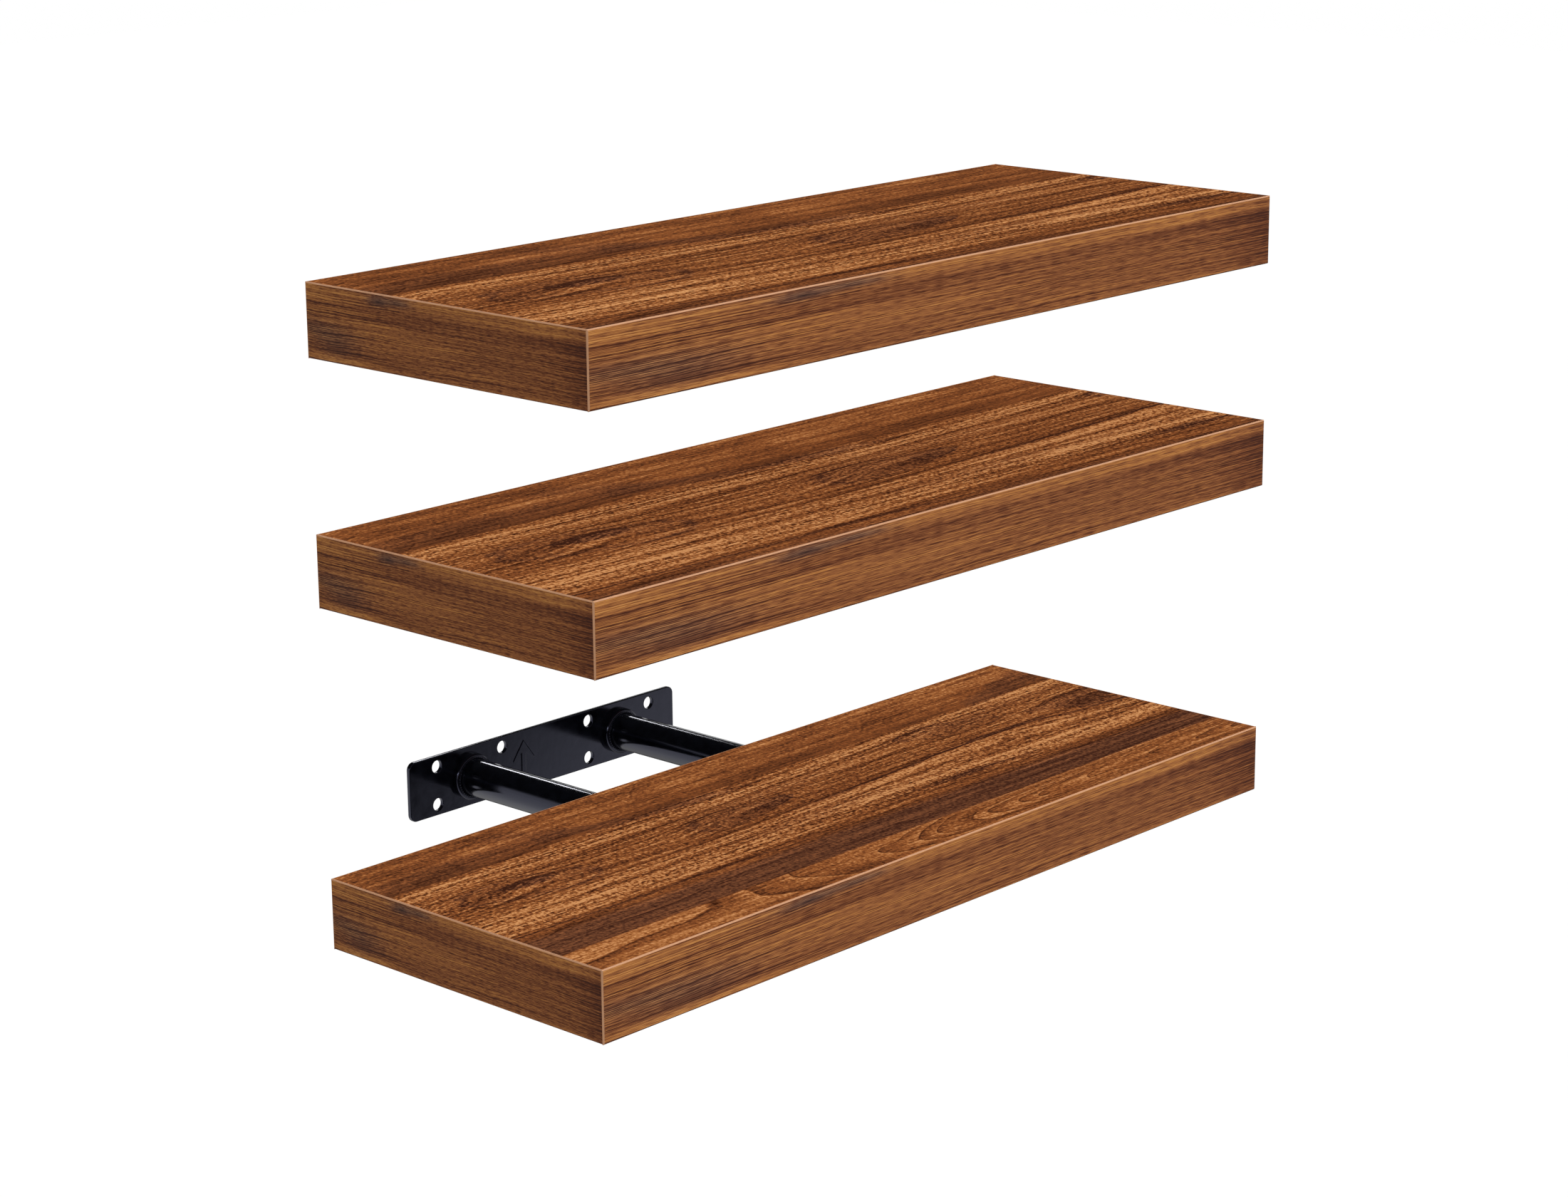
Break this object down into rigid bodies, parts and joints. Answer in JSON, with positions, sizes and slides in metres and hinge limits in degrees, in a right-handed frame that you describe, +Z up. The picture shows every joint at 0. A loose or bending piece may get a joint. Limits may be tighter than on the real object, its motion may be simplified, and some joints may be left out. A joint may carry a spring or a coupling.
{
  "type": "floating wall shelf",
  "caption": "Set of thick walnut-look wall shelves, each a hollow board that slides onto the rods of a black steel wall bracket; the lowest board is drawn off to show its bracket.",
  "frame": {"origin": "centre of the back face of the lower wall plate, where it meets the wall", "axes": "+X along the boards to the right as seen from the front, -Y towards the front, +Y into the wall, +Z up"},
  "size_m": [0.61, 0.37, 0.4],
  "materials": {
    "walnut_laminate": "satin",
    "walnut_edge_band": "satin",
    "chipboard": "matte",
    "honeycomb_paper": "matte",
    "black_steel": "gloss"
  },
  "bodies": {
    "brackets": {"lower_wall_plate": "black_steel", "lower_left_rod": "black_steel", "lower_right_rod": "black_steel", "middle_wall_plate": "black_steel", "middle_left_rod": "black_steel", "middle_right_rod": "black_steel", "upper_wall_plate": "black_steel", "upper_left_rod": "black_steel", "upper_right_rod": "black_steel"},
    "lower_board": {"lower_top_panel": "walnut_laminate", "lower_bottom_panel": "walnut_laminate", "lower_front_rail": "chipboard", "lower_back_rail": "chipboard", "lower_left_rail": "chipboard", "lower_right_rail": "chipboard", "lower_left_rod_block": "chipboard", "lower_right_rod_block": "chipboard", "lower_honeycomb": "honeycomb_paper", "lower_front_edge_band": "walnut_edge_band", "lower_back_edge_band": "walnut_edge_band", "lower_left_edge_band": "walnut_edge_band", "lower_right_edge_band": "walnut_edge_band"},
    "middle_board": {"middle_top_panel": "walnut_laminate", "middle_bottom_panel": "walnut_laminate", "middle_front_rail": "chipboard", "middle_back_rail": "chipboard", "middle_left_rail": "chipboard", "middle_right_rail": "chipboard", "middle_left_rod_block": "chipboard", "middle_right_rod_block": "chipboard", "middle_honeycomb": "honeycomb_paper", "middle_front_edge_band": "walnut_edge_band", "middle_back_edge_band": "walnut_edge_band", "middle_left_edge_band": "walnut_edge_band", "middle_right_edge_band": "walnut_edge_band"},
    "upper_board": {"upper_top_panel": "walnut_laminate", "upper_bottom_panel": "walnut_laminate", "upper_front_rail": "chipboard", "upper_back_rail": "chipboard", "upper_left_rail": "chipboard", "upper_right_rail": "chipboard", "upper_left_rod_block": "chipboard", "upper_right_rod_block": "chipboard", "upper_honeycomb": "honeycomb_paper", "upper_front_edge_band": "walnut_edge_band", "upper_back_edge_band": "walnut_edge_band", "upper_left_edge_band": "walnut_edge_band", "upper_right_edge_band": "walnut_edge_band"}
  },
  "joints": [
    {"name": "lower_board_slide", "type": "slide", "parent": "brackets", "child": "lower_board", "axis": [0, -1, 0], "range_m": [-0.1368, 0.0332]},
    {"name": "middle_board_slide", "type": "slide", "parent": "brackets", "child": "middle_board", "axis": [0, -1, 0], "range_m": [0, 0.17]},
    {"name": "upper_board_slide", "type": "slide", "parent": "brackets", "child": "upper_board", "axis": [0, -1, 0], "range_m": [0, 0.17]}
  ]
}
